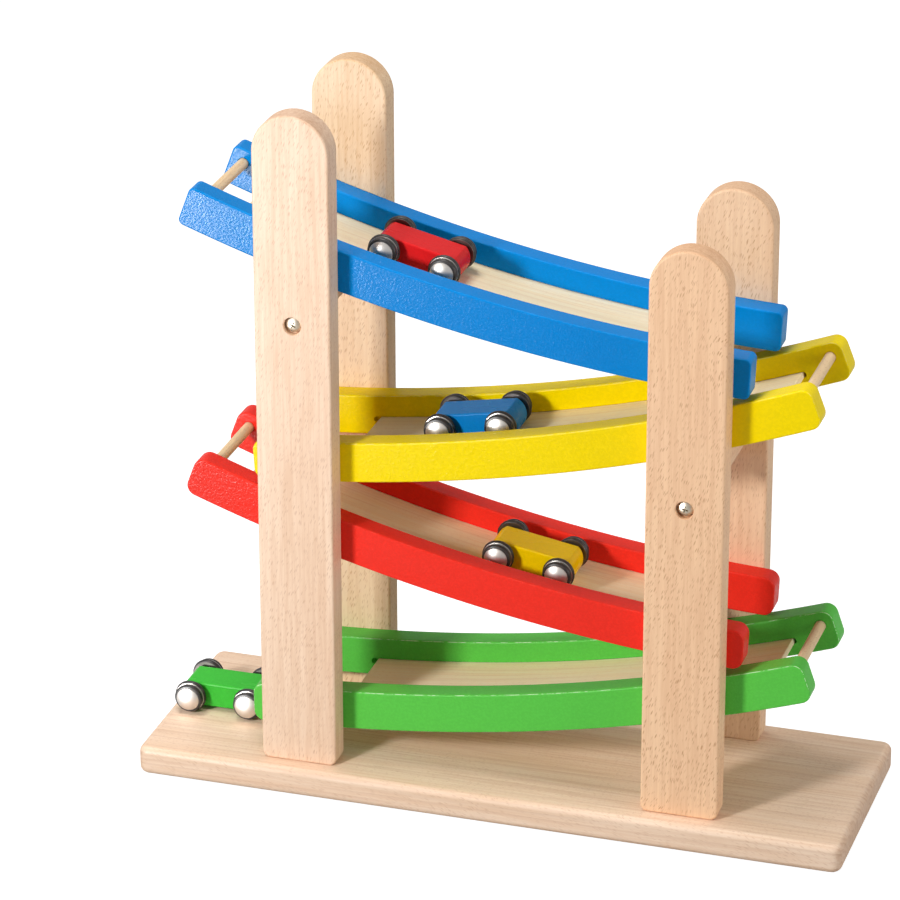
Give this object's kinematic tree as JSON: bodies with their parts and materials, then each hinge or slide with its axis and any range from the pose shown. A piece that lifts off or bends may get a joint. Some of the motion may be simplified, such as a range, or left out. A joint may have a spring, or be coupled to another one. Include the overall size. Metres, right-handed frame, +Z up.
{
  "type": "click clack track toy",
  "caption": "Wooden toy track: curved painted ramps zigzag down between two pairs of uprights on a board, with small wooden cars on metal wheels that roll and drop from ramp to ramp.",
  "frame": {"origin": "middle of the base board's underside", "axes": "+X along the board to the right, where the lower pair of uprights stands; +Y to the back; +Z up"},
  "size_m": [0.3, 0.099, 0.2945],
  "materials": {
    "board_beech": "satin lacquer over fine long grain",
    "upright_beech": "satin lacquer over grain with short dark flecks",
    "floor_birch": "thin birch strip, bare and sanded",
    "dowel_birch": "bare turned dowel",
    "blue_paint": "semi-gloss paint",
    "yellow_paint": "semi-gloss paint",
    "red_paint": "semi-gloss paint",
    "green_paint": "semi-gloss paint",
    "red_car_paint": "gloss paint",
    "blue_car_paint": "gloss paint",
    "yellow_car_paint": "gloss paint",
    "green_car_paint": "gloss paint",
    "hub_chrome": "bright nickel plate",
    "axle_steel": "drawn steel rod",
    "ring_rubber": "matt black rubber",
    "screw_zinc": "zinc plated"
  },
  "bodies": {
    "frame": {"base_board": "board_beech", "upright_front_left": "upright_beech", "upright_back_left": "upright_beech", "upright_front_right": "upright_beech", "upright_back_right": "upright_beech", "blue_rail_front": "blue_paint", "blue_rail_back": "blue_paint", "blue_floor": "floor_birch", "blue_stop_dowel": "dowel_birch", "blue_rail_pins": "dowel_birch", "yellow_rail_front": "yellow_paint", "yellow_rail_back": "yellow_paint", "yellow_floor": "floor_birch", "yellow_stop_dowel": "dowel_birch", "yellow_rail_pins": "dowel_birch", "red_rail_front": "red_paint", "red_rail_back": "red_paint", "red_floor": "floor_birch", "red_stop_dowel": "dowel_birch", "red_rail_pins": "dowel_birch", "green_rail_front": "green_paint", "green_rail_back": "green_paint", "green_floor": "floor_birch", "green_stop_dowel": "dowel_birch", "green_rail_pins": "dowel_birch", "crossbar_left": "upright_beech", "crossbar_right": "upright_beech", "crossbar_screws": "screw_zinc", "base_screws": "screw_zinc"},
    "red_car": {"red_car_body": "red_car_paint"},
    "red_car_front_wheels": {"red_car_front_axle": "axle_steel", "red_car_front_hubs": "hub_chrome", "red_car_front_tyres": "ring_rubber"},
    "red_car_rear_wheels": {"red_car_rear_axle": "axle_steel", "red_car_rear_hubs": "hub_chrome", "red_car_rear_tyres": "ring_rubber"},
    "blue_car": {"blue_car_body": "blue_car_paint"},
    "blue_car_front_wheels": {"blue_car_front_axle": "axle_steel", "blue_car_front_hubs": "hub_chrome", "blue_car_front_tyres": "ring_rubber"},
    "blue_car_rear_wheels": {"blue_car_rear_axle": "axle_steel", "blue_car_rear_hubs": "hub_chrome", "blue_car_rear_tyres": "ring_rubber"},
    "yellow_car": {"yellow_car_body": "yellow_car_paint"},
    "yellow_car_front_wheels": {"yellow_car_front_axle": "axle_steel", "yellow_car_front_hubs": "hub_chrome", "yellow_car_front_tyres": "ring_rubber"},
    "yellow_car_rear_wheels": {"yellow_car_rear_axle": "axle_steel", "yellow_car_rear_hubs": "hub_chrome", "yellow_car_rear_tyres": "ring_rubber"},
    "green_car": {"green_car_body": "green_car_paint"},
    "green_car_front_wheels": {"green_car_front_axle": "axle_steel", "green_car_front_hubs": "hub_chrome", "green_car_front_tyres": "ring_rubber"},
    "green_car_rear_wheels": {"green_car_rear_axle": "axle_steel", "green_car_rear_hubs": "hub_chrome", "green_car_rear_tyres": "ring_rubber"}
  },
  "joints": [
    {"name": "red_car_run", "type": "hinge", "parent": "frame", "child": "red_car", "pos_m": [0.1365, 0, 0.96207], "axis": [0, -1, 0], "range_deg": [-4.49, 7.18]},
    {"name": "red_car_front_spin", "type": "hinge", "parent": "red_car", "child": "red_car_front_wheels", "pos_m": [-0.02736, 0, 0.22461], "axis": [0, -1, 0], "continuous": true},
    {"name": "red_car_rear_spin", "type": "hinge", "parent": "red_car", "child": "red_car_rear_wheels", "pos_m": [-0.05264, 0, 0.23068], "axis": [0, -1, 0], "continuous": true},
    {"name": "blue_car_run", "type": "hinge", "parent": "frame", "child": "blue_car", "pos_m": [-0.149, 0, 0.90161], "axis": [0, 1, 0], "range_deg": [-8.92, 2.75]},
    {"name": "blue_car_front_spin", "type": "hinge", "parent": "blue_car", "child": "blue_car_front_wheels", "pos_m": [-0.0293, 0, 0.15571], "axis": [0, 1, 0], "continuous": true},
    {"name": "blue_car_rear_spin", "type": "hinge", "parent": "blue_car", "child": "blue_car_rear_wheels", "pos_m": [-0.0037, 0, 0.16027], "axis": [0, 1, 0], "continuous": true},
    {"name": "yellow_car_run", "type": "hinge", "parent": "frame", "child": "yellow_car", "pos_m": [0.1362, 0, 0.84508], "axis": [0, -1, 0], "range_deg": [-8.22, 3.45]},
    {"name": "yellow_car_front_spin", "type": "hinge", "parent": "yellow_car", "child": "yellow_car_front_wheels", "pos_m": [0.02101, 0, 0.09846], "axis": [0, -1, 0], "continuous": true},
    {"name": "yellow_car_rear_spin", "type": "hinge", "parent": "yellow_car", "child": "yellow_car_rear_wheels", "pos_m": [-0.00461, 0, 0.10287], "axis": [0, -1, 0], "continuous": true},
    {"name": "green_car_run", "type": "slide", "parent": "frame", "child": "green_car", "axis": [1, 0, 0], "range_m": [-0.006, 0.042]},
    {"name": "green_car_front_spin", "type": "hinge", "parent": "green_car", "child": "green_car_front_wheels", "pos_m": [-0.1402, 0, 0.01945], "axis": [0, 1, 0], "continuous": true},
    {"name": "green_car_rear_spin", "type": "hinge", "parent": "green_car", "child": "green_car_rear_wheels", "pos_m": [-0.1142, 0, 0.01945], "axis": [0, 1, 0], "continuous": true}
  ],
  "couplings": [
    {"joint": "red_car_front_spin", "follows": "red_car_run", "ratio": -109.7},
    {"joint": "red_car_rear_spin", "follows": "red_car_run", "ratio": -109.7},
    {"joint": "blue_car_front_spin", "follows": "blue_car_run", "ratio": -109.7},
    {"joint": "blue_car_rear_spin", "follows": "blue_car_run", "ratio": -109.7},
    {"joint": "yellow_car_front_spin", "follows": "yellow_car_run", "ratio": -109.7},
    {"joint": "yellow_car_rear_spin", "follows": "yellow_car_run", "ratio": -109.7},
    {"joint": "green_car_front_spin", "follows": "green_car_run", "rad_per_m": 143.88},
    {"joint": "green_car_rear_spin", "follows": "green_car_run", "rad_per_m": 143.88}
  ]
}
